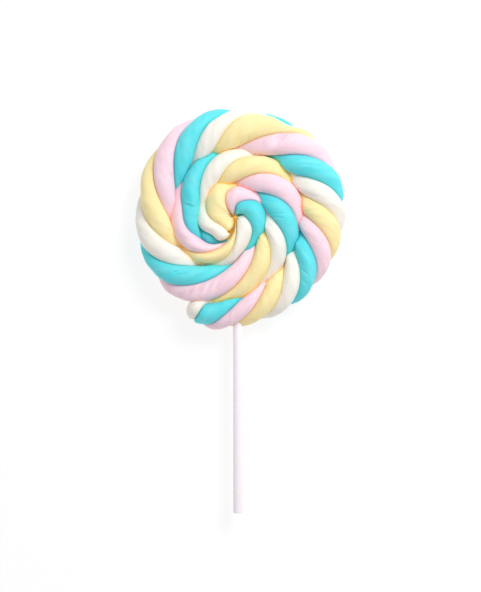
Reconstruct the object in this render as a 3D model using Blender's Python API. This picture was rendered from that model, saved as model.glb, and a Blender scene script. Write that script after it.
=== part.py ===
"""A marshmallow lollipop, lying on its back with its patterned side up.

Four soft strands, pink, turquoise, yellow and white, are twisted together into one thick rope.
The rope is wound inwards in a flat spiral of three turns, each turn pressed against the next,
and its underside has settled flat.  A plain paper stick is pushed into the outer turn.

Metres, +Z up.  The stick runs along -Y.  The origin is under the middle of the whole lollipop,
on the surface that it lies on.
"""

import math

import bmesh
import bpy
import numpy as np
from mathutils import Matrix

MM = 0.001

# --- driving dimensions, in millimetres and degrees -----------------------------------------
SPIRAL_CENTRE = (-2.8, 46.7)
SPIRAL_START = -121.0  # direction of the rope's outer end, anticlockwise from +X
OUTER_END = 0.003  # where the rope begins and ends, in turns from SPIRAL_START
INNER_END = 3.10
HALF_HEIGHT = 10.9  # of the rope before it settles
HEIGHT_SHARES = ((0, 0.93), (0.15, 1), (2.0, 1), (2.3, 0.95))  # of HALF_HEIGHT, by turn
SETTLED = 1.0  # how deep the rope has sunk into its own flat underside
DOME = 2.0  # how much higher the middle of the spiral sits than its rim
OUTER_ROUNDING = 8.0  # length over which the outer end closes
INNER_ROUNDING = 4.5
BLUNTNESS = 2.6  # of both rounded ends
TAIL_SPREAD = 0.02  # over this many turns the first strand narrows to its quarter of the rope

LOBE_OFFSET = 0.36  # a strand's round back: its centre from the rope's axis, in rope radii
WALL_POINT = 0.42  # where a strand's flat wall has a point on its way in to the rope's axis
STRAND_GAP = 0.3
TURN_GAP = 0.85
END_SPARE = 1.2  # length by which a turn clears the rope's inner end
PRESSING = 6  # how sharply a turn gives way where the next turn presses on it
CENTRE_HOLLOW = 0.6  # half-width of the dimple in the middle of the spiral

# The rope by hand: turns from the outer end, outer radius of the spiral there, half-width of
# the rope, and how far its strands have twisted.
ROPE = (
    (0.00, 56.0, 6.0, -5),
    (0.05, 56.5, 8.0, 132),
    (0.10, 55.0, 9.5, 225),
    (0.20, 53.0, 10.5, 405),
    (0.30, 54.5, 12.0, 605),
    (0.40, 56.5, 12.5, 805),
    (0.50, 56.5, 12.5, 960),
    (0.60, 55.0, 12.0, 1080),
    (0.70, 54.0, 11.5, 1240),
    (0.80, 50.5, 11.0, 1355),
    (0.90, 49.5, 10.5, 1475),
    (1.00, 49.0, 11.5, 1610),
    (1.10, 42.0, 12.0, 1700),
    (1.20, 35.5, 11.0, 1785),
    (1.30, 34.5, 11.0, 1900),
    (1.40, 35.5, 11.5, 1985),
    (1.60, 34.5, 10.0, 2150),
    (1.70, 35.0, 9.5, 2250),
    (1.80, 33.0, 9.5, 2310),
    (1.90, 33.0, 8.5, 2360),
    (2.00, 29.5, 8.5, 2450),
    (2.05, 26.0, 8.5, 2485),
    (2.10, 23.0, 8.5, 2540),
    (2.20, 17.5, 9.0, 2575),
    (2.30, 18.0, 9.0, 2630),
    (2.40, 18.0, 8.5, 2650),
    (2.50, 16.5, 8.5, 2690),
    (2.60, 18.0, 9.0, 2740),
    (2.70, 20.5, 10.0, 2805),
    (2.80, 20.0, 9.0, 2845),
    (2.90, 20.0, 8.5, 2890),
    (3.00, 17.0, 8.0, 2905),
    (3.05, 14.0, 6.5, 2925),
    (3.10, 10.5, 5.0, 2945),
)

STICK_RADIUS = 2.45
STICK_FOOT_Y = -102.0
STICK_TIP_Y = 24.0
STICK_X = -1.5
STICK_Z = 10.5
STICK_SIDES = 24
STICK_EDGE = 0.25
STICK_CLEARANCE = 0.3
BORE_SIDES = 16

STRANDS = {
    # name: (place round the rope in quarter turns, colour)
    "strand_white": (1, (0.93, 0.90, 0.84)),
    "strand_turquoise": (2, (0.12, 0.72, 0.80)),
    "strand_pink": (3, (0.95, 0.66, 0.76)),
    "strand_yellow": (4, (0.97, 0.82, 0.44)),
}
STICK_COLOUR = (0.93, 0.88, 0.91)

STATION_PACE = 22.5  # a cross-section for each of these, in degrees of twist
TURN_PACE = 350  # degrees of twist that a whole turn counts for
LEAST_STEP = 0.006  # in turns, from a rounded end to the next cross-section
CLOSING = np.array((0.03, 0.16, 0.42))  # cross-sections in each rounded end, as shares of it
ARC_POINTS = 6  # across the round back of a strand
SMOOTH_BELOW = math.radians(45)  # edges that bend less than this are shaded smooth


# --- the rope -------------------------------------------------------------------------------
TURNS, OUTER_RADII, HALF_WIDTHS, TWISTS = np.array(ROPE, float).T


def along_rope(turn, values):
    """A smooth curve through one column of ROPE."""
    slopes = np.gradient(values, TURNS)
    turn = np.clip(turn, TURNS[0], TURNS[-1])
    first = np.clip(np.searchsorted(TURNS, turn, side="right") - 1, 0, len(TURNS) - 2)
    step = TURNS[first + 1] - TURNS[first]
    t = (turn - TURNS[first]) / step
    return (
        (1 + 2 * t) * (1 - t) ** 2 * values[first]
        + t * (1 - t) ** 2 * step * slopes[first]
        + t**2 * (3 - 2 * t) * values[first + 1]
        + t**2 * (t - 1) * step * slopes[first + 1]
    )


def half_width(turn):
    return along_rope(turn, HALF_WIDTHS)


def axis_radius(turn):
    """Distance from the middle of the spiral to the rope's axis."""
    return along_rope(turn, OUTER_RADII) - half_width(turn)


def half_height(turn):
    turns, shares = zip(*HEIGHT_SHARES)
    return HALF_HEIGHT * np.interp(turn, turns, shares)


def axis_height(turn):
    return half_height(turn) - SETTLED + DOME * np.clip(turn, 0, 3) / 3


def end_taper(turn, spare=0):
    """1 along the rope, closing to 0 like a rounded tip at both ends, or `spare` beyond them."""
    arc = 2 * math.pi * axis_radius(turn)
    outer = np.clip(((turn - OUTER_END) * arc + spare) / OUTER_ROUNDING, 0, 1)
    inner = np.clip(((INNER_END - turn) * arc + spare) / INNER_ROUNDING, 0, 1)
    return np.sqrt((1 - (1 - outer) ** BLUNTNESS) * (1 - (1 - inner) ** BLUNTNESS))


def lobe(offset):
    """Radius of a strand's round back, this many degrees from its middle, in rope radii."""
    offset = np.radians(offset)
    across = LOBE_OFFSET * np.sin(offset)
    return LOBE_OFFSET * np.cos(offset) + np.sqrt((1 - LOBE_OFFSET) ** 2 - across**2)


def press_on_next_turn(turn, radius, height):
    """Points of one turn, moved out of the way of the next turn inwards."""
    inner = turn + 1
    taper = np.maximum(end_taper(inner, END_SPARE), 1e-6)
    wide = half_width(inner) * taper
    high = half_height(inner) * taper
    x = (radius - axis_radius(inner)) / wide
    y = (height - axis_height(inner)) / high
    distance = np.hypot(x, y)
    around = np.degrees(np.arctan2(y, x))
    from_strand = (around - along_rope(inner, TWISTS)) % 90 - 45
    surface = lobe(from_strand) + TURN_GAP / wide
    pushed = (surface**PRESSING + distance**PRESSING) ** (1 / PRESSING) / distance
    pushed = np.where(taper > 1e-6, pushed, 1)
    return (
        axis_radius(inner) + x * pushed * wide,
        axis_height(inner) + y * pushed * high,
    )


def place_section(turn, across, up):
    """World points of a cross-section of the rope, from offsets off its axis."""
    radius, height = press_on_next_turn(turn, axis_radius(turn) + across, axis_height(turn) + up)
    radius = (radius + np.sqrt(radius**2 + 4 * CENTRE_HOLLOW**2)) / 2
    height = np.maximum(height, 0)
    angle = np.radians(SPIRAL_START + 360 * turn)
    return np.stack(
        (
            SPIRAL_CENTRE[0] + radius * np.cos(angle),
            SPIRAL_CENTRE[1] + radius * np.sin(angle),
            height + 0 * angle,
        ),
        axis=-1,
    )


def stations():
    """Turns at which the rope gets a cross-section, closer together where it twists faster."""
    turn = np.linspace(OUTER_END, INNER_END, 2000)
    passed = along_rope(turn, TWISTS) + TURN_PACE * turn
    turns = np.interp(np.arange(passed[0], passed[-1], STATION_PACE), passed, turn)
    outer = OUTER_END + CLOSING * OUTER_ROUNDING / (2 * math.pi * axis_radius(OUTER_END))
    inner = INNER_END - CLOSING[::-1] * INNER_ROUNDING / (2 * math.pi * axis_radius(INNER_END))
    turns = turns[(turns > outer[-1] + LEAST_STEP) & (turns < inner[0] - LEAST_STEP)]
    return np.concatenate((outer, turns, inner))


def share_out(turn, place):
    """Angle round the rope from the first strand's middle: that strand widens at the tail end."""
    power = np.interp(turn, (0, TAIL_SPREAD), (0.5, 1))
    place = (place + 180) % 360 - 180
    return 180 * np.sign(place) * np.abs(place / 180) ** power


def strand_rings(quarter):
    """Cross-sections of one strand: a quarter of the rope, set off from its neighbours."""
    turn = stations()[:, None]
    offsets = np.linspace(-45, 45, ARC_POINTS)
    offsets = np.concatenate((offsets, (45, 0, -45)))[None, :]
    reach = np.concatenate((lobe(offsets[0, :ARC_POINTS]), (WALL_POINT, 0, WALL_POINT)))[None, :]
    first = along_rope(turn, TWISTS) + 45
    middle = np.radians(first + share_out(turn, 90 - 90 * quarter))
    angle = np.radians(first + share_out(turn, 90 - 90 * quarter + offsets))
    wide = half_width(turn) * end_taper(turn)
    high = half_height(turn) * end_taper(turn)
    apart = STRAND_GAP / math.sqrt(2) * np.minimum(1, 2 * end_taper(turn))
    shrink = 1 - apart / high
    across = wide * shrink * reach * np.cos(angle) + apart * np.cos(middle)
    up = high * shrink * reach * np.sin(angle) + apart * np.sin(middle)
    return place_section(turn, across, up)


# --- solids ---------------------------------------------------------------------------------
def material(name, colour, roughness):
    made = bpy.data.materials.new(name)
    made.use_nodes = True
    shader = made.node_tree.nodes["Principled BSDF"]
    shader.inputs["Base Color"].default_value = (*colour, 1)
    shader.inputs["Roughness"].default_value = roughness
    shader.inputs["Metallic"].default_value = 0
    return made


def solid(name, bm, colour, roughness):
    bmesh.ops.recalc_face_normals(bm, faces=bm.faces)
    mesh = bpy.data.meshes.new(name)
    bm.to_mesh(mesh)
    bm.free()
    mesh.materials.append(material(name, colour, roughness))
    mesh.shade_smooth()
    mesh.set_sharp_from_angle(angle=SMOOTH_BELOW)
    made = bpy.data.objects.new(name, mesh)
    bpy.context.scene.collection.objects.link(made)
    return made


def strand(name, quarter, colour):
    """One closed, triangulated strand.

    Neighbouring strands face each other along their straight walls, so both walls are split
    along the same diagonal, and the gap between them stays even.
    """
    rings = strand_rings(quarter)
    bm = bmesh.new()
    grid = [[bm.verts.new(point * MM) for point in ring] for ring in rings]
    count = len(grid[0])
    first_half = (count + ARC_POINTS) // 2
    for ring, following in zip(grid, grid[1:]):
        for i in range(count):
            j = (i + 1) % count
            if ARC_POINTS - 1 <= i < first_half:
                bm.faces.new((ring[i], ring[j], following[j]))
                bm.faces.new((ring[i], following[j], following[i]))
            else:
                bm.faces.new((ring[i], ring[j], following[i]))
                bm.faces.new((ring[j], following[j], following[i]))
    caps = [bm.faces.new(grid[0]), bm.faces.new(grid[-1])]
    bmesh.ops.triangulate(bm, faces=caps)
    return solid(name, bm, colour, 0.75)


def stick():
    """A round paper stick along Y, its two ends cut square with softened edges."""
    bm = bmesh.new()
    circle = bmesh.ops.create_circle(
        bm, segments=STICK_SIDES, radius=STICK_RADIUS * MM, cap_ends=True
    )
    bmesh.ops.rotate(bm, verts=circle["verts"], matrix=Matrix.Rotation(-math.pi / 2, 3, "X"))
    length = (STICK_TIP_Y - STICK_FOOT_Y) * MM
    grown = bmesh.ops.extrude_face_region(bm, geom=bm.faces[:])
    far_end = [v for v in grown["geom"] if isinstance(v, bmesh.types.BMVert)]
    bmesh.ops.translate(bm, verts=far_end, vec=(0, length, 0))
    rims = [edge for edge in bm.edges if abs(edge.verts[0].co.y - edge.verts[1].co.y) < 1e-6]
    bmesh.ops.bevel(
        bm, geom=rims, offset=STICK_EDGE * MM, segments=2, profile=0.5, affect="EDGES", material=-1
    )
    made = solid("stick", bm, STICK_COLOUR, 0.5)
    made.location = (STICK_X * MM, STICK_FOOT_Y * MM, STICK_Z * MM)
    return made


def bore_for(pieces, tip_y):
    """Cuts the stick's way through the pieces, a little wider and deeper than the stick."""
    bm = bmesh.new()
    depth = (tip_y - STICK_FOOT_Y + STICK_CLEARANCE) * MM
    bmesh.ops.create_cone(
        bm,
        segments=BORE_SIDES,
        radius1=(STICK_RADIUS + STICK_CLEARANCE) * MM,
        radius2=(STICK_RADIUS + STICK_CLEARANCE) * MM,
        depth=depth,
        cap_ends=True,
    )
    bmesh.ops.rotate(bm, verts=bm.verts, matrix=Matrix.Rotation(math.pi / 2, 3, "X"))
    cutter = solid("stick_bore", bm, STICK_COLOUR, 0.5)
    cutter.location = (STICK_X * MM, STICK_FOOT_Y * MM + depth / 2, STICK_Z * MM)
    cutter.hide_render = True
    cutter.display_type = "WIRE"
    for piece in pieces:
        cut = piece.modifiers.new("stick bore", "BOOLEAN")
        cut.operation = "DIFFERENCE"
        cut.solver = "EXACT"
        cut.object = cutter


for old in list(bpy.data.objects):
    bpy.data.objects.remove(old)

head = [strand(name, quarter, colour) for name, (quarter, colour) in STRANDS.items()]
stick()
bore_for(head, STICK_TIP_Y)
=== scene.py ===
# %% [markdown]
# # A marshmallow lollipop
#
# Four long strands of marshmallow, white, turquoise, pink and yellow, are twisted into one thick
# rope.  The rope is wound into a flat spiral and pushed onto a paper stick.  It lies on its back on
# a pale table, and we look straight down on it.
#
# The solids that this scene starts from already have the right size and place.  They are plain,
# though: a few thousand flat faces to a strand, in one even colour.  Here each strand is made
# again, finely, with the soft back, the tight creases, the dents and the powdery skin of the real
# sweet.

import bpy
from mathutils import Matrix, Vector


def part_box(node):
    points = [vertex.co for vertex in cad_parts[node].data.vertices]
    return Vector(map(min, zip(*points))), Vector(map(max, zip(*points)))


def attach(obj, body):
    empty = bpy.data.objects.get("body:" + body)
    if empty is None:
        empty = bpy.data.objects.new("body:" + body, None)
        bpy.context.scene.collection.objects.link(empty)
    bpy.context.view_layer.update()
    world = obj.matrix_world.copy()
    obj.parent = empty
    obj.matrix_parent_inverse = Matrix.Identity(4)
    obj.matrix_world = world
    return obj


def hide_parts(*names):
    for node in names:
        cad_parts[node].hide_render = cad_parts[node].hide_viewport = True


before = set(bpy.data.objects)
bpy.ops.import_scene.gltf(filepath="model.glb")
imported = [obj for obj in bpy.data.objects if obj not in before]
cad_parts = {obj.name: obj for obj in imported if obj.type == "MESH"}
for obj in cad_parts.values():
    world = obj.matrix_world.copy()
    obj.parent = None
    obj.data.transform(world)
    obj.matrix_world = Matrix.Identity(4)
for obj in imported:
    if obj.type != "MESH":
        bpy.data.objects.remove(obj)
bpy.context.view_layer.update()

import math

import bmesh
import bpy
import numpy as np
from mathutils import Euler, Vector, noise

MM = 0.001  # Blender counts in metres
MM_PER_CM = 10


print("solids:", sorted(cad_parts))

# %% [markdown]
# ## The camera
#
# A product is often shown as if drawn flat, with hardly any perspective.  A long lens from far
# above does that: at 100 mm, the top of the sweet looks only about a fortieth larger than its foot.
# The camera hangs over the middle of the picture and looks down, with the stick towards the bottom
# of the picture.  Its height follows from how much of the table the picture takes in.

# %% Hang the camera
LENS = 100.0  # mm
SENSOR = 36.0  # mm, along the picture's long side
VIEW_LENGTH = 297.5 * MM  # how much of the table the picture's long side takes in
VIEW_MIDDLE = (-0.25 * MM, 7.0 * MM)
ROPE_MIDDLE_HEIGHT = 10.5 * MM  # the view is measured at this height


def hang_camera():
    data = bpy.data.cameras.new("camera")
    data.lens = LENS
    data.sensor_width = SENSOR
    data.clip_start = 0.01
    data.clip_end = 20
    camera = bpy.data.objects.new("camera", data)
    height = ROPE_MIDDLE_HEIGHT + VIEW_LENGTH * LENS / SENSOR
    camera.location = (*VIEW_MIDDLE, height)
    bpy.context.scene.collection.objects.link(camera)
    bpy.context.scene.camera = camera
    return camera


camera = hang_camera()
print("camera height in mm:", round(camera.location.z / MM))

# %% [markdown]
# ## Shader maths that reads like arithmetic
#
# Blender's materials are graphs of nodes, and a sum of two values is a node as well.  Wiring those
# one by one hides what a material does.  A small class that wraps an output socket and defines +
# and * lets us write the sum itself.  Every other node comes from one method, which takes the
# node's type, then its settings, then the values or links of its sockets.


# %% A socket that can be calculated with
class Wire:
    """An output socket.  Sums and products of wires add the Math nodes that they need."""

    def __init__(self, socket):
        self.socket = socket

    def node(self, kind, settings, sockets, output=0):
        """Adds a node to this wire's material and returns one of its outputs."""
        return add_node(self.socket.id_data, kind, settings, sockets, output)

    def maths(self, operation, other):
        return self.node("ShaderNodeMath", {"operation": operation}, {0: self, 1: other})

    def __add__(self, other):
        return self.maths("ADD", other)

    def __mul__(self, other):
        return self.maths("MULTIPLY", other)

    __radd__ = __add__
    __rmul__ = __mul__

    def ramp(self, low, high):
        """0 below low and 1 above high, with a soft start and end."""
        settings = {"interpolation_type": "SMOOTHSTEP"}
        return self.node("ShaderNodeMapRange", settings, {0: self, 1: low, 2: high})


def add_node(tree, kind, settings, sockets, output=0):
    made = tree.nodes.new(kind)
    for name, value in settings.items():
        setattr(made, name, value)
    for name, value in sockets.items():
        if isinstance(value, Wire):
            tree.links.new(value.socket, made.inputs[name])
        else:
            made.inputs[name].default_value = value
    return Wire(made.outputs[output])


print("a wire knows", [name for name in vars(Wire) if not name.startswith("_")])

# %% [markdown]
# Two colours can't be added with a Math node, which would turn them grey.  They go through a Mix
# node instead.  Such a node has sockets for numbers, vectors and colours side by side, so its
# colour sockets are called by their place in the row.

# %% Colours and empty materials
MIX_COLOURS = (6, 7)  # a Mix node's two colour inputs
MIX_RESULT = 2  # its colour output


def blend(mask, colour, other):
    """Colour where the mask is 0, and the other colour where it is 1."""
    sockets = {0: mask}
    for socket, value in zip(MIX_COLOURS, (colour, other)):
        sockets[socket] = value if isinstance(value, Wire) else (*value, 1)
    return mask.node("ShaderNodeMix", {"data_type": "RGBA"}, sockets, MIX_RESULT)


def new_material(name):
    """An empty Principled material: the material, its tree and its shader."""
    made = bpy.data.materials.new(name)
    made.use_nodes = True
    return made, made.node_tree, made.node_tree.nodes["Principled BSDF"]


def set_evenly(shader, values):
    """Settings that are the same all over a piece."""
    for name, value in values.items():
        shader.inputs[name].default_value = value


def connect(tree, shader, wires):
    """Settings that change over a piece."""
    for name, wire in wires.items():
        tree.links.new(wire.socket, shader.inputs[name])


print("a colour is blended through sockets", MIX_COLOURS)

# %% [markdown]
# ## The marshmallow's skin
#
# Marshmallow is matt and faintly powdery, and light goes a little way into it, which softens its
# shadows.  On the back of a strand the sugar and starch rub to a paler bloom, and the paler back
# also stands for a painted highlight.  Where two strands press together, the colour is painted
# deeper and darker there, as painted shade and painted bounce light: a seam between yellow and pink
# turns a deep warm orange, and one between pink and turquoise turns mauve.  Each strand's mesh
# carries how near a point is to the seam on either side, and the material paints the shade there.
# Deep between two turns the crease also gets a painted glow in that deep colour, where a little
# daylight would come through the marshmallow itself.
#
# Very fine things are left to a bump map: the grain of the starch on the skin, faint streaks along
# the strand where the dough was pulled, and the small cross wrinkles where it was twisted.  Their
# patterns are noise, stretched along the strand or across it, so they are laid out in the strand's
# own map of lengthwise and crosswise distances.

# %% The patterns on the skin
ATTRIBUTE_VALUE = 2  # an Attribute node's output for a plain number
# the marks steer the painted crease shade, the painted glow and the painted highlight
MARKS = ("seam_before", "seam_after", "touch", "crown")  # what a strand's mesh carries


def pattern(layout, along, across, detail):
    """Noise with about so many patches in a centimetre along the strand and across it."""
    stretch = {"Vector": layout, "Scale": (along, across, 1.0)}
    stretched = layout.node("ShaderNodeMapping", {}, stretch)
    sockets = {"Vector": stretched, "Scale": 1.0, "Detail": detail}
    return layout.node("ShaderNodeTexNoise", {}, sockets)


def carried(tree, mark):
    """A number that the strand's mesh carries at each vertex."""
    settings = {"attribute_name": mark}
    return add_node(tree, "ShaderNodeAttribute", settings, {}, ATTRIBUTE_VALUE)


print("marks:", MARKS)

# %% How strong each part of the finish is
BODY = {
    "Subsurface Weight": 0.35,  # share of light that wanders under the skin
    "Subsurface Radius": (1.0, 0.7, 0.6),  # red light wanders furthest
    "Subsurface Scale": 2.5 * MM,
    "Specular IOR Level": 0.35,
    "Sheen Weight": 0.08,  # the powder
    "Sheen Roughness": 0.5,
    "Emission Strength": 0.2,  # painted glow in the creases where turns touch
}
BLOOM_AND_PAINTED_HIGHLIGHT = 0.35  # how much paler a strand's back can be: bloom and painted highlight
PAINTED_CREASE_SHADE = 0.85  # painted crease shade: how far a seam's colour goes towards its deep tint
SMOOTHEST = 0.5  # roughness of the skin, and what the grain adds to it
GRAIN_ROUGHNESS = 0.2
GRAIN = 0.12  # what each pattern adds to the height of the bump map
WRINKLES = 0.4
STREAKS = 0.35
CLOUDS = 0.3
BUMP = {"Strength": 0.35, "Distance": 0.4 * MM}
BLACK = (0, 0, 0)

print("light wanders", round(BODY["Subsurface Scale"] / MM, 1), "mm under the skin")

# %% [markdown]
# What is the same all over the skin is set on the shader once.  What changes from place to place is
# wired: the colour with its painted shade and painted highlight, the painted glow of the creases,
# the roughness, and the direction that the surface seems to face.

# %% The marshmallow finish
def marshmallow(name, colour, pale, deep, before, after):
    """A strand's finish: colour, bloom with painted highlight, painted crease shade and glow."""
    made, tree, shader = new_material(name)
    set_evenly(shader, BODY)

    near = {mark: carried(tree, mark) for mark in MARKS}
    # the strand's own map: centimetres along it, and centimetres across its back
    layout = add_node(tree, "ShaderNodeUVMap", {"uv_map": "strand"}, {})
    cloudy = pattern(layout, 0.9, 0.9, detail=3.0)
    grain = pattern(layout, 26.0, 26.0, detail=4.0)
    streaks = pattern(layout, 0.7, 7.0, detail=3.0)
    folds = pattern(layout, 5.0, 0.9, detail=2.0)

    # the paler back: powder bloom, and a painted highlight
    tint = blend(near["crown"] * cloudy.ramp(0.3, 0.7) * BLOOM_AND_PAINTED_HIGHLIGHT, colour, pale)
    # painted shade: darker, deeper colour at the seams and where turns touch
    tint = blend(near["seam_before"] * PAINTED_CREASE_SHADE, tint, before)
    tint = blend(near["seam_after"] * PAINTED_CREASE_SHADE, tint, after)
    tint = blend(near["touch"] * PAINTED_CREASE_SHADE, tint, deep)
    # painted glow: the creases between turns glow in their deep tint
    painted_glow = blend(near["touch"], BLACK, deep)

    wrinkled = folds.ramp(0.35, 0.65) * cloudy.ramp(0.50, 0.62)
    height = grain * GRAIN + wrinkled * WRINKLES + streaks * STREAKS + cloudy * CLOUDS
    bump = height.node("ShaderNodeBump", {}, {**BUMP, "Height": height})
    roughness = SMOOTHEST + grain * GRAIN_ROUGHNESS
    varied = {
        "Base Color": tint,
        "Emission Color": painted_glow,
        "Roughness": roughness,
        "Normal": bump,
    }
    connect(tree, shader, varied)
    return made


print("a finish wires four patterns and", len(MARKS), "marks")

# %% [markdown]
# The four strands share one finish and differ only in five colours.  The order of the strands round
# the rope, white, turquoise, pink, yellow and white again, says which two colours meet in a seam.

# %% Mix the four colours
FINISHES = {
    # colour, bloom and painted highlight on the back, and painted shade where turns touch,
    # then painted shade at the seams with the strand before it and with the strand after it
    "white": (
        (0.90, 0.86, 0.79),
        (0.93, 0.91, 0.86),
        (0.84, 0.72, 0.52),
        (0.92, 0.76, 0.36),
        (0.55, 0.74, 0.68),
    ),
    "turquoise": (
        (0.09, 0.72, 0.79),
        (0.34, 0.86, 0.90),
        (0.03, 0.46, 0.50),
        (0.06, 0.50, 0.46),
        (0.10, 0.36, 0.44),
    ),
    "pink": (
        (0.95, 0.67, 0.76),
        (0.99, 0.82, 0.90),
        (0.94, 0.44, 0.42),
        (0.70, 0.46, 0.58),
        (0.96, 0.50, 0.34),
    ),
    "yellow": (
        (0.98, 0.80, 0.40),
        (1.00, 0.92, 0.60),
        (0.99, 0.56, 0.08),
        (0.96, 0.52, 0.18),
        (0.97, 0.76, 0.26),
    ),
}
skins = {name: marshmallow(f"marshmallow_{name}", *values) for name, values in FINISHES.items()}
print("finishes:", sorted(skins))

# %% [markdown]
# ## The rope
#
# The rope is described the way a sweet maker would check it: at a number of places along the
# spiral, how far out the rope reaches, how thick it is, and how far its strands have twisted by
# then.  A table like this one shaped the solids too, and a few rows here follow the rope more
# closely.  A smooth curve through each column gives the values in between.

# %% The rope, place by place
ROPE = (
    # turns from the outer end, outer radius in mm, half-width in mm, twist in degrees
    (0.00, 56.0, 6.0, -5),
    (0.05, 57.5, 8.5, 132),
    (0.10, 55.0, 9.5, 225),
    (0.20, 53.0, 10.5, 405),
    (0.30, 54.5, 12.0, 605),
    (0.40, 56.5, 12.5, 805),
    (0.50, 56.5, 12.5, 960),
    (0.60, 55.0, 12.0, 1080),
    (0.70, 54.0, 11.5, 1240),
    (0.80, 50.5, 11.0, 1355),
    (0.90, 50.7, 11.1, 1475),
    (1.00, 50.0, 12.0, 1610),
    (1.10, 42.0, 12.0, 1700),
    (1.20, 35.5, 11.0, 1785),
    (1.30, 34.5, 11.0, 1900),
    (1.40, 35.5, 11.5, 1985),
    (1.60, 34.5, 10.0, 2150),
    (1.70, 35.0, 9.5, 2250),
    (1.80, 33.0, 9.0, 2310),
    (1.90, 33.0, 7.2, 2360),
    (2.00, 29.5, 7.2, 2450),
    (2.05, 26.0, 8.6, 2485),
    (2.10, 23.0, 11.0, 2540),
    (2.15, 20.0, 10.2, 2560),
    (2.20, 17.5, 9.0, 2575),
    (2.30, 18.0, 9.0, 2630),
    (2.40, 18.0, 8.5, 2650),
    (2.50, 16.5, 8.5, 2690),
    (2.60, 18.0, 9.0, 2740),
    (2.70, 20.5, 10.0, 2805),
    (2.80, 20.0, 9.0, 2845),
    (2.90, 20.0, 9.4, 2890),
    (3.00, 17.0, 7.8, 2905),
    (3.05, 14.0, 6.3, 2925),
    (3.10, 10.5, 5.0, 2945),
)
TURNS, OUTER_RADII, HALF_WIDTHS, TWISTS = np.array(ROPE, float).T


def along_rope(turn, values):
    """A smooth curve through one column of ROPE."""
    slopes = np.gradient(values, TURNS)
    turn = np.clip(turn, TURNS[0], TURNS[-1])
    first = np.clip(np.searchsorted(TURNS, turn, side="right") - 1, 0, len(TURNS) - 2)
    step = TURNS[first + 1] - TURNS[first]
    t = (turn - TURNS[first]) / step
    return (
        (1 + 2 * t) * (1 - t) ** 2 * values[first]
        + t * (1 - t) ** 2 * step * slopes[first]
        + t**2 * (3 - 2 * t) * values[first + 1]
        + t**2 * (t - 1) * step * slopes[first + 1]
    )


print("rope of", len(ROPE), "places,", round(TWISTS[-1] / 360, 1), "twists")

# %% [markdown]
# The rope isn't quite round.  It is nearly as high everywhere, whatever its width, because it was
# wound between the table and a hand.  It has settled on its flat underside, and the middle of the
# spiral sits a little higher than the rim.

# %% The rope's axis and its thickness
SPIRAL_CENTRE = (-2.8, 46.7)  # mm
SPIRAL_START = -121.0  # direction of the rope's outer end, anticlockwise from +X
SPIRAL_TURNS = 3
HALF_HEIGHT = 10.9
HEIGHT_SHARES = ((0, 0.93), (0.15, 1), (2.0, 1), (2.3, 0.95))  # turns, share of HALF_HEIGHT
SETTLED = 1.0  # how deep the rope has sunk into its own flat underside
DOME = 2.0  # how much higher the middle sits than the rim


def half_width(turn):
    return along_rope(turn, HALF_WIDTHS)


def axis_radius(turn):
    return along_rope(turn, OUTER_RADII) - half_width(turn)


def half_height(turn):
    turns, shares = zip(*HEIGHT_SHARES)
    return HALF_HEIGHT * np.interp(turn, turns, shares)


def axis_height(turn):
    climb = DOME * np.clip(turn, 0, SPIRAL_TURNS) / SPIRAL_TURNS
    return half_height(turn) - SETTLED + climb


print("thickest place in mm:", round(2 * HALF_WIDTHS.max(), 1), "wide,", 2 * HALF_HEIGHT, "high")

# %% [markdown]
# ## A strand's round back
#
# Across the rope, each strand is about a quarter with a round back: an arc whose middle lies beside
# the rope's own.  The back falls away steeply just before it meets its neighbour, which makes the
# narrow seam.  A strand that is squeezed narrow can't bulge as much as a full one, or it would
# stand up like a fin.

# %% The back and its seams
QUARTER = 90  # degrees round the rope for each of the four strands
EDGE = QUARTER / 2  # from the middle of a strand's back to its seams
LOBE_OFFSET = 0.42  # how far the back's own middle lies from the rope's, in rope radii
SEAM_DEPTH = 0.06  # of the rope's half-width
SEAM_WIDTH = 4.0  # degrees round the rope
FULL_BULGE = 70  # a strand at least this many degrees wide has the full round back


def lobe(offset):
    """Radius of a strand's round back, this many degrees from its middle, in rope radii."""
    offset = np.radians(offset)
    across = LOBE_OFFSET * np.sin(offset)
    return LOBE_OFFSET * np.cos(offset) + np.sqrt((1 - LOBE_OFFSET) ** 2 - across**2)


def seam_nearness(offset):
    """1 in the seams at both sides of a strand's back, falling off quickly."""
    return np.exp((np.abs(offset) - EDGE) / SEAM_WIDTH)


def surface(offset, width):
    """The back's radius with its seams, on a strand this many degrees wide."""
    rim = lobe(EDGE)
    bulge = (lobe(offset) - rim) * np.minimum(width / FULL_BULGE, 1)
    return (rim + bulge) * (1 - SEAM_DEPTH * seam_nearness(offset))


print("at its seams, a back reaches", round(float(lobe(EDGE)), 2), "of the rope's radius")

# %% [markdown]
# ## Where the seams run
#
# No twist is perfectly even, so in places a seam runs a little earlier or later round the rope, and
# one strand looks wider than the next.  Each such place is a smooth hump on the seam's angle.  Two
# places need more.  At the upper right the white strand is pinched nearly flat, and its neighbours
# close over it.  At the rope's outer end the white strand wraps all the way round the others.

# %% The seam shifts
ORDER = {"white": 1, "turquoise": 2, "pink": 3, "yellow": 4}  # clockwise round the rope
SEAM_SHIFTS = (
    # seam: 0 yellow and white, 1 white and turquoise, 2 turquoise and pink, 3 pink and yellow,
    # turns from the outer end, shift in degrees round the rope, reach in turns
    (1, 0.030, 35, 0.022),
    (2, 0.042, -20, 0.018),
    (0, 0.496, 62, 0.029),
    (0, 0.575, -15, 0.030),
    (1, 0.600, 18, 0.035),
    (2, 0.637, 28, 0.030),
    (2, 1.920, 20, 0.040),
    (3, 2.060, 40, 0.050),
    (0, 2.150, 50, 0.045),
    (1, 2.440, 40, 0.090),
    (2, 2.630, 30, 0.035),
    (3, 2.790, 62, 0.075),
    (1, 2.940, 30, 0.050),
    (0, 3.035, -30, 0.040),
)
PINCH = 0.514  # where the white strand is pinched, and how far that reaches, in turns
PINCH_REACH = 0.038
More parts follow.
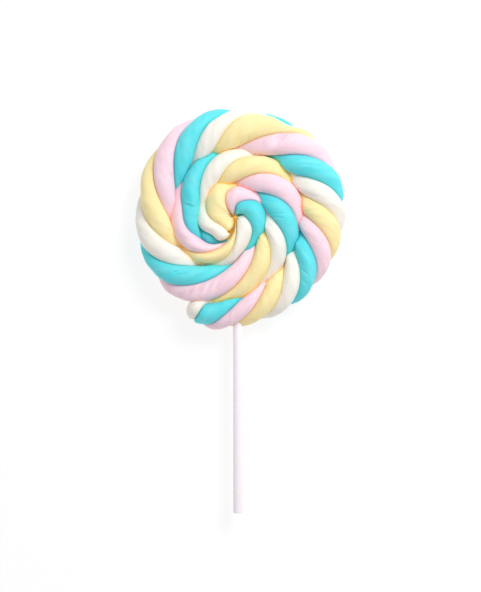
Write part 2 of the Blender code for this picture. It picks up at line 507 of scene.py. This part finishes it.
PINCH_STEEPNESS = 6
PINCHED_AWAY = 0.97  # share of its width that the white strand loses there
TAIL_WRAP = 125  # degrees by which the white strand wraps further round the rope's outer end
TAIL_WRAP_END = 0.027
TAIL_WRAP_EASE = 0.002


def seam_angles(turn):
    """Angles round the rope of the seams: each strand lies between one and the next."""
    angles = [along_rope(turn, TWISTS) + QUARTER - QUARTER * seam for seam in range(len(ORDER))]
    for seam, middle, shift, reach in SEAM_SHIFTS:
        angles[seam] = angles[seam] + shift * np.exp(-(((turn - middle) / reach) ** 2))
    wrap = TAIL_WRAP / (1 + np.exp((turn - TAIL_WRAP_END) / TAIL_WRAP_EASE))
    angles[0] = angles[0] + wrap
    angles[1] = angles[1] - wrap
    pinched = PINCHED_AWAY * np.exp(-(((turn - PINCH) / PINCH_REACH) ** PINCH_STEEPNESS))
    angles[1] = angles[1] + (angles[0] - angles[1]) * pinched
    return angles + [angles[0] - 360]


print(len(SEAM_SHIFTS), "shifts, and one pinch at", PINCH, "turns")

# %% [markdown]
# ## Blunt ends
#
# Marshmallow rope is cut warm, and its skin closes over the cut into a blunt, rounded tip.  One
# curve that falls from 1 to 0 over a few millimetres gives that shape to the rope and to each
# strand: everything is drawn in towards its own middle by that share.

# %% Round off the ends
OUTER_END = 0.003  # where the rope begins and ends, in turns from the table's first row
INNER_END = 3.055
OUTER_ROUNDING = 8.0  # mm
INNER_ROUNDING = 4.5
BLUNTNESS = 2.6


def rounded_ends(turn, outer_end, outer_rounding, inner_end, inner_rounding):
    """1 along the way, closing to 0 like a rounded tip at both ends."""
    arc = 2 * math.pi * axis_radius(turn)
    outer = np.clip((turn - outer_end) * arc / outer_rounding, 0, 1)
    inner = np.clip((inner_end - turn) * arc / inner_rounding, 0, 1)
    return np.sqrt((1 - (1 - outer) ** BLUNTNESS) * (1 - (1 - inner) ** BLUNTNESS))


print("the rope runs from", OUTER_END, "to", INNER_END, "turns")

# %% [markdown]
# ## How turns meet
#
# Where the next turn of the spiral lies against this one, the softer outer turn gives way: a point
# that would lie inside the inner turn is moved out to its surface.  A hard rule would leave a sharp
# line where the two part, so the move is eased in with a high power of both distances.

# %% Press one turn against the next
TURN_GAP = 0.02  # mm
PRESSING = 14  # the power: the higher it is, the sharper the crease
TIP = 1e-6  # a section smaller than this is the rope's tip
FAR_OFF = 99.0  # mm, for a turn that isn't there


def against(other, radius, height):
    """How points lie to another turn: from its axis, in its radii, and where its surface is."""
    taper = rounded_ends(other, OUTER_END, OUTER_ROUNDING, INNER_END, INNER_ROUNDING)
    taper = np.maximum(taper, TIP)
    wide = half_width(other) * taper
    high = half_height(other) * taper
    x = (radius - axis_radius(other)) / wide
    y = (height - axis_height(other)) / high
    around = np.degrees(np.arctan2(y, x))
    seams = seam_angles(other)
    reach = np.zeros_like(around)
    for above, below in zip(seams, seams[1:]):
        share = (around - below) % 360 / (above - below)
        back = surface(QUARTER * share - EDGE, above - below)
        reach = np.where(share <= 1, back, reach)
    return x, y, reach, wide, high, taper


def press_on_next_turn(turn, radius, height):
    """Points of one turn, moved out of the way of the next turn inwards."""
    inner = turn + 1
    x, y, reach, wide, high, taper = against(inner, radius, height)
    distance = np.hypot(x, y)
    reach = reach + TURN_GAP / wide
    pushed = (reach**PRESSING + distance**PRESSING) ** (1 / PRESSING) / distance
    pushed = np.where(taper > TIP, pushed, 1)
    return axis_radius(inner) + x * pushed * wide, axis_height(inner) + y * pushed * high


def clearance(other, radius, height):
    """Distance in mm from points to another turn's surface, 0 inside it."""
    x, y, reach, wide, high, _ = against(other, radius, height)
    apart = np.maximum(np.hypot(x, y) - reach, 0) * np.minimum(wide, high)
    there = (other > OUTER_END) & (other < INNER_END)
    return np.where(there, apart, FAR_OFF)


print("turns are kept", TURN_GAP, "mm apart")

# %% [markdown]
# ## Rolling out a strand
#
# A strand could be swept along a curve, but its section turns, swells and is pressed all the way.
# It is simpler to roll it from a flat sheet: a grid whose long side runs along the rope and whose
# short side goes once round the strand.  Every vertex of the grid is moved to its place, the two
# long edges are welded, and the ends, where the section closes to a point, are welded too.
#
# The sheet's own coordinates tell where each vertex is along the rope and round the strand.  The
# same numbers, measured out in centimetres, become the map that the finish uses.

# %% The sheet's size and its rows
STATIONS = 1600  # rows along the rope
ROUND = 52  # vertices round a strand
WALL_SHARE = 0.09  # of the sheet's width goes to each of the two hidden walls
PACE_STEPS = 4000
TURN_WORTH = 500  # a turn of the spiral gets as many rows as this many degrees of twist
CROWDING = 25  # how strongly the rows crowd towards the ends
CROWDING_REACH = 0.004  # turns
STRAND_ENDS = {
    # outer end in turns and its rounding in mm, inner end and its rounding
    "white": (0.007, 6, 3.038, 4),
    "turquoise": (0.020, 5, 3.03, 4),
    "pink": (0.022, 5, 3.03, 4),
    "yellow": (0.022, 5, 3.055, 4),
}


def spread_stations(share, name):
    """Turns for even steps along the sheet: rows are close where the rope twists fast or ends."""
    outer_end, _, inner_end, _ = STRAND_ENDS[name]
    turn = np.linspace(outer_end, inner_end, PACE_STEPS)
    pace = along_rope(turn, TWISTS) + TURN_WORTH * turn
    closing = 1 / (CROWDING_REACH + turn - outer_end) + 1 / (CROWDING_REACH + inner_end - turn)
    pace = pace + np.cumsum(closing) * (turn[1] - turn[0]) * CROWDING
    return np.interp(share * (pace[-1] - pace[0]) + pace[0], pace, turn)


def round_the_strand(share):
    """Degrees from the middle of the back, and how far in along the wall, from 0 to 1."""
    back = np.clip((share - WALL_SHARE) / (1 - 2 * WALL_SHARE), 0, 1)
    offset = EDGE * np.sin((back - 0.5) * math.pi)
    inwards = np.clip(1 - np.minimum(share, 1 - share) / WALL_SHARE, 0, 1)
    return offset, inwards


print("a rolled strand has", STATIONS * ROUND, "vertices")

# %% [markdown]
# ## Distances on a strand
#
# Dents, wrinkles and the patterns of the finish have sizes in millimetres, so we need to know how
# far along its strand a point is, and how far from the middle of its back.  A strand runs round the
# spiral and round the rope at the same time.  The two are at right angles, so small steps of both
# add up as the sides of a triangle do.

# %% Measure a strand
LENGTH_STEPS = 2000
RUN_RADIUS = 0.9  # how far out in the rope a strand runs, of the rope's half-width
BACK_ARC = 1.1  # a back is this much longer than an arc of the rope's half-width


def measure_strand():
    """Turns, and the distance in mm along a strand's back up to each of them."""
    turn = np.linspace(OUTER_END, INNER_END, LENGTH_STEPS)
    round_spiral = np.diff(turn) * 2 * math.pi * axis_radius(turn[1:])
    round_rope = np.radians(np.diff(along_rope(turn, TWISTS))) * half_width(turn[1:]) * RUN_RADIUS
    return turn, np.concatenate(((0,), np.cumsum(np.hypot(round_spiral, round_rope))))


def back_width(offset, turn):
    """Distance in mm across the back, for degrees from its middle."""
    return np.radians(offset) * half_width(turn) * BACK_ARC


STRAND_LENGTH = measure_strand()
print("a strand is", round(STRAND_LENGTH[1][-1]), "mm long")

# %% [markdown]
# ## Lumps, wrinkles and dents
#
# Dough that is pulled and twisted by hand swells and thins a little all the way, and where it was
# bent sharply it has small wrinkles straight across.  Fingers and the wrapper leave dents.  The
# larger ones are listed one by one.  A dent falls off at its own rate before and after its middle:
# when one of the two is much shorter, it reads as a fold.

# %% The dents, one by one
DENTS = (
    # strand, turns, degrees from the middle of its back, depth in mm (below 0 it stands out),
    # reach in mm: back along the strand, forward along it, and across it
    ("pink", 0.080, 8, -0.25, 0.7, 0.7, 5.0),
    ("turquoise", 0.215, 32, 0.45, 0.7, 0.9, 3.5),
    ("turquoise", 0.228, 28, 0.50, 0.6, 1.2, 3.5),
    ("white", 0.375, 28, 0.50, 1.2, 3.5, 4.5),
    ("turquoise", 0.430, -8, 0.60, 5.0, 5.0, 1.0),
    ("pink", 0.488, -18, -0.45, 2.5, 0.8, 4.0),
    ("pink", 0.503, -22, 2.50, 2.2, 3.5, 4.5),
    ("pink", 0.528, -26, 0.50, 0.6, 2.5, 1.8),
    ("yellow", 0.560, 30, 0.30, 0.6, 1.2, 2.5),
    ("yellow", 0.575, 26, 0.35, 0.6, 1.5, 3.0),
    ("turquoise", 0.691, -26, 0.50, 1.5, 2.5, 2.0),
    ("pink", 0.745, 32, 0.60, 1.0, 3.0, 1.5),
    ("turquoise", 0.955, 16, 0.80, 0.9, 0.9, 0.8),
    ("turquoise", 0.963, 6, 0.60, 0.7, 0.9, 0.8),
    ("turquoise", 0.972, 3, 0.80, 0.8, 1.0, 0.7),
    ("pink", 0.988, 6, 0.70, 0.9, 2.0, 3.5),
    ("pink", 0.999, 18, 0.90, 0.8, 1.6, 4.0),
    ("pink", 1.011, 24, 0.90, 0.8, 2.2, 4.0),
    ("pink", 1.028, 15, 0.80, 0.8, 1.8, 3.5),
    ("pink", 1.043, 5, 0.70, 0.8, 2.0, 3.0),
    ("turquoise", 1.330, 24, 0.45, 0.6, 1.6, 3.5),
    ("turquoise", 1.343, 4, 0.40, 0.6, 1.6, 4.5),
    ("pink", 1.462, 10, -0.20, 0.8, 0.8, 5.0),
    ("turquoise", 1.800, -12, 0.55, 0.7, 3.0, 4.0),
    ("turquoise", 2.925, 30, -1.50, 6.0, 6.0, 5.0),
)


def dents(name, along, across):
    """Depth in mm of the strand's listed dents, at points given by their distances in mm."""
    depth = np.zeros_like(along)
    for strand, turn, offset, deep, back, forward, aside in DENTS:
        if strand == name:
            ahead = along - np.interp(turn, *STRAND_LENGTH)
            beside = across - back_width(offset, turn)
            reach = np.where(ahead < 0, back, forward)
            depth = depth + deep * np.exp(-((ahead / reach) ** 2) - (beside / aside) ** 2)
    return depth


print(len(DENTS), "dents")

# %% [markdown]
# The swelling and the wrinkles are chance, so they come from Blender's noise, which gives the same
# values every time.  Each kind has its own size along the strand and across it.  Wrinkles come in
# patches, so their noise is multiplied by a slower one that is cut off below zero.

# %% The swelling and the wrinkles
LUMP = 0.55  # heights in mm
SMALL_LUMP = 0.30
WRINKLE = 0.16
LUMP_SIZE = (17, 11)  # mm along the strand and across it
SMALL_LUMP_SIZE = (6, 5)
WRINKLE_SIZE = (1.7, 8)
PATCH_SIZE = (14, 9)
PATCH_CONTRAST = 3
SEED_STEP = 3.1  # from one strand's noise to the next one's
WALL_DEPTH = 5  # mm, how far the map goes on along a hidden wall


def chance(along, across, size, seed):
    """Noise between about -1 and 1, whose bumps have this size in mm."""
    return noise.noise(Vector((along / size[0], across / size[1], seed)))


def lumps(along, across, seed):
    """Uneven height in mm at one point of a strand."""
    slow = chance(along, across, LUMP_SIZE, seed)
    quick = chance(along, across, SMALL_LUMP_SIZE, seed + 7)
    wrinkle = chance(along, across, WRINKLE_SIZE, seed + 3)
    patch = min(max(chance(along, across, PATCH_SIZE, seed + 5) * PATCH_CONTRAST, 0), 1)
    return LUMP * slow + SMALL_LUMP * quick + WRINKLE * wrinkle * patch


def strand_relief(name, turn, share):
    """Height in mm of the lumps and dents, and the distances along the strand and across it."""
    offset, inwards = round_the_strand(share)
    along = np.interp(turn, *STRAND_LENGTH)
    across = back_width(offset, turn) + np.sign(offset) * inwards * WALL_DEPTH
    relief = np.array([lumps(a, b, ORDER[name] * SEED_STEP) for a, b in zip(along, across)])
    relief = relief - dents(name, along, across)
    return relief * (1 - seam_nearness(offset)) * (1 - inwards), along, across


print("lumps up to", round(LUMP + SMALL_LUMP + WRINKLE, 1), "mm")

# %% [markdown]
# ## Where the sheet's vertices go
#
# A vertex gets its place in three moves.  First it goes round its strand's back, or along one of
# the two hidden walls that run in towards the rope's core, with the lumps and dents added on the
# way, and it is kept clear of the next turn.

# %% Round the back and along the walls
CORE = 0.30  # the walls run in as far as this share of the rope's radius


def section_points(turn, share, name, relief):
    """Radius and height in mm of every vertex of the sheet."""
    offset, inwards = round_the_strand(share)
    wide = half_width(turn)
    high = half_height(turn)
    seams = seam_angles(turn)
    above, below = seams[ORDER[name] - 1], seams[ORDER[name]]
    middle = np.radians((above + below) / 2)
    angle = np.radians(below + (offset / QUARTER + 0.5) * (above - below))
    reach = surface(offset, above - below) * (1 - inwards * (1 - CORE)) + relief / wide

    # from the strand's own middle, so that its ends close to rounded tips
    alone = np.clip((360 - above + below) / (360 - QUARTER), 0, 1)  # 0 where it wraps the others
    own = 0.5 * (1 + CORE) * alone
    taper = rounded_ends(turn, *STRAND_ENDS[name])
    across = own * np.cos(middle) + (reach * np.cos(angle) - own * np.cos(middle)) * taper
    up = own * np.sin(middle) + (reach * np.sin(angle) - own * np.sin(middle)) * taper
    radius, height = axis_radius(turn) + wide * across, axis_height(turn) + high * up
    return press_on_next_turn(turn, radius, height)


print("walls end at", CORE, "of the rope's radius")

# %% [markdown]
# Then the middle of the spiral is seen to: the strands there lean in under a small hollow, and no
# point may cross the spiral's centre.  At last all of it is wound round the spiral, and what would
# lie below the table is pressed flat on it.

# %% Close the middle and wind the spiral
CENTRE_HOLLOW = 0.6  # mm
CENTRE_LEAN = 2.5  # how far the flanks lean in under the hollow, and from how far out
CENTRE_LEAN_REACH = 4.0
CENTRE_LEAN_TOP = 15  # the lean is gone at this height, and fades over the millimetres below it
CENTRE_LEAN_FADE = 7


def lean_over_centre(radius, height):
    """Radius in mm, with the flanks leaning in, and never across the spiral's centre."""
    low = np.clip((CENTRE_LEAN_TOP - height) / CENTRE_LEAN_FADE, 0, 1)
    radius = radius - CENTRE_LEAN * low * np.exp(-((radius / CENTRE_LEAN_REACH) ** 2))
    return (radius + np.sqrt(radius**2 + 4 * CENTRE_HOLLOW**2)) / 2


def place(turn, radius, height):
    """Points in metres, wound round the spiral and never below the table."""
    angle = np.radians(SPIRAL_START + 360 * turn)
    x = SPIRAL_CENTRE[0] + radius * np.cos(angle)
    y = SPIRAL_CENTRE[1] + radius * np.sin(angle)
    return np.stack(np.broadcast_arrays(x, y, np.maximum(height, 0)), axis=-1) * MM


print("the hollow in the middle is", 2 * CENTRE_HOLLOW, "mm wide")

# %% [markdown]
# With every vertex in place, its distances to the seams and to the next turns are measured.  The
# finish paints its crease shade and glow by how near they are: 1 right at the seam, falling off to
# 0 within a millimetre or two.

# %% Mark the seams for the finish
SEAM_REACH = 0.45  # mm over which a seam's painted shade fades
TOUCH_REACH = 0.45
CROWN_REACH = 3.0  # mm from a seam to where the back's bloom and painted highlight begin


def finish_marks(turn, share, radius, height):
    """How near each vertex is to the seams, to the next turns, and to the back's crown."""
    offset, _ = round_the_strand(share)
    size = np.minimum(half_width(turn), half_height(turn))
    outwards = clearance(turn - 1, radius, height)
    touching = np.minimum(clearance(turn + 1, radius, height), outwards)
    touch = np.exp(-np.maximum(touching - TURN_GAP, 0) / TOUCH_REACH)
    to_before = np.radians(EDGE - offset) * size
    to_after = np.radians(EDGE + offset) * size
    crown = 1 - np.exp(-np.minimum(to_before, to_after) / CROWN_REACH)
    marks = (np.exp(-to_before / SEAM_REACH), np.exp(-to_after / SEAM_REACH), touch)
    return dict(zip(MARKS, (*marks, crown * (1 - touch))))


print("seam tints fade over", SEAM_REACH, "mm")

# %% [markdown]
# ## The four strands
#
# Each strand's sheet is a grid of one by one.  Its coordinates are rounded, so that both long edges
# get exactly the same places and the weld closes them.  The weld reaches only half a thousandth of
# a millimetre, because at the rounded tips real neighbours are close together.

# %% Roll the strands
SHEET_DIGITS = 6
WELD = 0.0005 * MM
MAP_STEP = 40  # cm from one strand's map to the next, so that no two show the same pattern


def finished(name, bm, finish):
    """The piece that a bmesh and a finish make."""
    mesh = bpy.data.meshes.new(name)
    bm.to_mesh(mesh)
    bm.free()
    mesh.shade_smooth()
    mesh.materials.append(finish)
    made = bpy.data.objects.new(name, mesh)
    bpy.context.scene.collection.objects.link(made)
    return made


def roll_strand(name):
    """One strand, rolled from a sheet that is laid out, moved into place and welded."""
    sheet = bmesh.new()
    bmesh.ops.create_grid(sheet, x_segments=STATIONS - 1, y_segments=ROUND, size=0.5)
    corners = np.array([vertex.co for vertex in sheet.verts]) + 0.5
    corners = np.round(corners, SHEET_DIGITS)
    turn = spread_stations(corners[:, 0], name)
    share = corners[:, 1] % 1  # the sheet's last edge comes round onto its first

    relief, along, across = strand_relief(name, turn, share)
    radius, height = section_points(turn, share, name, relief)
    radius = lean_over_centre(radius, height)
    marks = finish_marks(turn, share, radius, height)
    points = place(turn, radius, height)

    layers = {mark: sheet.verts.layers.float.new(mark) for mark in MARKS}
    layout = sheet.loops.layers.uv.new("strand")
    for row, vertex in enumerate(sheet.verts):
        vertex.co = points[row]
        for mark, layer in layers.items():
            vertex[layer] = marks[mark][row]
        for loop in vertex.link_loops:
            u = along[row] / MM_PER_CM + MAP_STEP * ORDER[name]
            loop[layout].uv = (u, across[row] / MM_PER_CM)
    bmesh.ops.remove_doubles(sheet, verts=sheet.verts, dist=WELD)
    bmesh.ops.recalc_face_normals(sheet, faces=sheet.faces)
    return finished(f"soft_{name}", sheet, skins[name])


for colour in ORDER:
    strand = roll_strand(colour)
    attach(strand, "root")
    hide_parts(f"strand_{colour}")
    print(strand.name, len(strand.data.polygons), "faces")

# %% [markdown]
# ## The tucked-in end
#
# At the middle of the spiral the yellow strand's end is tucked down between the others.  Only a
# glimpse of it shows, deep in the narrow pocket, so three balls of marshmallow, pressed long and
# flat, are enough.  The whole end lies in the crease, so its touch mark is 1 all over: it is
# painted in the deep crease shade, with the painted glow.

# %% Tuck in the end of the yellow strand
TUCKED_END = (
    # middle and half-size in mm
    ((-3.6, 43.0, 7.0), (3.0, 6.4, 5.6)),
    ((-2.6, 46.4, 10.0), (1.4, 1.9, 5.0)),
    ((-6.2, 37.0, 6.5), (3.0, 3.4, 6.0)),
)


def tuck_in_end():
    """The glimpse of the yellow strand's end, deep in the pocket."""
    bm = bmesh.new()
    for middle, size in TUCKED_END:
        ball = bmesh.ops.create_uvsphere(bm, u_segments=32, v_segments=24, radius=MM)
        bmesh.ops.scale(bm, verts=ball["verts"], vec=size)
        bmesh.ops.translate(bm, verts=ball["verts"], vec=Vector(middle) * MM)
    touch = bm.verts.layers.float.new("touch")
    for vertex in bm.verts:
        # touch 1 all over: the painted crease shade and painted glow cover the whole end
        vertex[touch] = 1
    return finished("tucked_end", bm, skins["yellow"])


tucked = tuck_in_end()
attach(tucked, "root")
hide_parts("strand_yellow")
print("tucked end:", len(tucked.data.polygons), "faces")

# %% [markdown]
# ## The stick
#
# The stick is a tight roll of white paper, cut square.  Its finish is an even white with a trace of
# lilac.  Fine noise stands for the paper's fibres: it clouds the colour a little, and it roughens
# the surface.

# %% The paper
PAPER = (0.95, 0.89, 0.94)
PALE_PAPER = (0.98, 0.93, 0.98)
FIBRES = {"Scale": 900.0, "Detail": 4.0}
FIBRE_BUMP = {"Strength": 0.15, "Distance": 0.05 * MM}
PAPER_ROUGHNESS = 0.45  # and what the fibres add to it
FIBRE_ROUGHNESS = 0.2
OBJECT_PLACE = 3  # a Texture Coordinate node's output for the place on the piece


def paper():
    """White rolled paper with faint fibres."""
    made, tree, shader = new_material("rolled_paper")
    where = add_node(tree, "ShaderNodeTexCoord", {}, {}, OBJECT_PLACE)
    fibres = where.node("ShaderNodeTexNoise", {}, {"Vector": where, **FIBRES})
    tint = blend(fibres.ramp(0.3, 0.7), PAPER, PALE_PAPER)
    bump = fibres.node("ShaderNodeBump", {}, {**FIBRE_BUMP, "Height": fibres})
    roughness = PAPER_ROUGHNESS + fibres * FIBRE_ROUGHNESS
    connect(tree, shader, {"Base Color": tint, "Roughness": roughness, "Normal": bump})
    return made


paper_finish = paper()
print("finish:", paper_finish.name)

# %% [markdown]
# The roll itself is round and straight, so a circle is filled and drawn out along its length.  A
# small bevel softens both rims, where the paper is pressed when it is cut.  Its size and place come
# from the solid.

# %% Roll the stick
STICK_SIDES = 96
STICK_RIM = 0.35 * MM
STICK_EDGE = 50  # degrees: the cut ends meet the side in a clean edge
SAME_PLACE = 1e-6  # metres


def roll_stick():
    """A round stick in the box of the solid, with both rims pressed soft."""
    low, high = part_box("stick")
    middle = (low + high) / 2
    thick = high.x - low.x
    bm = bmesh.new()
    rim = bmesh.ops.create_circle(bm, segments=STICK_SIDES, radius=thick / 2, cap_ends=True)
    bmesh.ops.rotate(bm, verts=rim["verts"], matrix=Euler((-math.pi / 2, 0, 0)).to_matrix())
    bmesh.ops.translate(bm, verts=bm.verts, vec=(middle.x, low.y, middle.z))
    drawn = bmesh.ops.extrude_face_region(bm, geom=bm.faces[:])
    far = [vertex for vertex in drawn["geom"] if isinstance(vertex, bmesh.types.BMVert)]
    bmesh.ops.translate(bm, verts=far, vec=(0, high.y - low.y, 0))
    rims = [
        edge for edge in bm.edges if abs(edge.verts[0].co.y - edge.verts[1].co.y) < SAME_PLACE
    ]
    bmesh.ops.bevel(
        bm, geom=rims, offset=STICK_RIM, segments=3, profile=0.5, affect="EDGES", material=-1
    )
    bmesh.ops.recalc_face_normals(bm, faces=bm.faces)
    return finished("paper_stick", bm, paper_finish)


stick = roll_stick()
stick.data.set_sharp_from_angle(angle=math.radians(STICK_EDGE))
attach(stick, "root")
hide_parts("stick")
print("stick:", len(stick.data.polygons), "faces")

# %% [markdown]
# ## The table
#
# The table is a wide pale sheet.  It glows a little itself, like a light table, so it stays white
# and the sweet's shadow on it is faint.

# %% Lay the table
TABLE_REACH = 3  # metres each way
TABLE_COLOUR = (0.22, 0.22, 0.22, 1)
TABLE_GLOW = 0.8
WHITE = (1, 1, 1, 1)


def lay_table():
    bm = bmesh.new()
    bmesh.ops.create_grid(bm, x_segments=1, y_segments=1, size=TABLE_REACH)
    made, _, shader = new_material("pale_table")
    even = {
        "Base Color": TABLE_COLOUR,
        "Roughness": 0.9,
        "Specular IOR Level": 0.0,
        "Emission Color": WHITE,
        "Emission Strength": TABLE_GLOW,
    }
    set_evenly(shader, even)
    return finished("table", bm, made)


lay_table()
print("the table reaches", TABLE_REACH, "m each way")

# %% [markdown]
# ## The light
#
# The light from above is soft and comes from the upper right, as from a large window, so each
# strand is brightest towards the upper right and a little darker at its lower left.  A bright room
# fills the shadows.

# %% Light the sweet
SWEET_MIDDLE = Vector((0, 0.04, 0))


def light_room(strength):
    world = bpy.data.worlds.new("room")
    world.use_nodes = True
    background = world.node_tree.nodes["Background"]
    background.inputs["Color"].default_value = WHITE
    background.inputs["Strength"].default_value = strength
    bpy.context.scene.world = world


def hang_lamp(name, direction, distance, size, power):
    """A square lamp in this direction from the sweet, facing it.  Metres and watts."""
    data = bpy.data.lights.new(name, "AREA")
    data.size = size
    data.energy = power
    lamp = bpy.data.objects.new(name, data)
    lamp.location = SWEET_MIDDLE + Vector(direction).normalized() * distance
    lamp.rotation_euler = Vector(direction).to_track_quat("Z", "Y").to_euler()
    bpy.context.scene.collection.objects.link(lamp)


light_room(strength=0.6)
hang_lamp("window", direction=(0.55, 0.65, 0.95), distance=0.9, size=0.35, power=5.0)
bpy.context.scene.view_settings.view_transform = "Standard"
print("lamps:", [light.name for light in bpy.data.lights])

# %% [markdown]
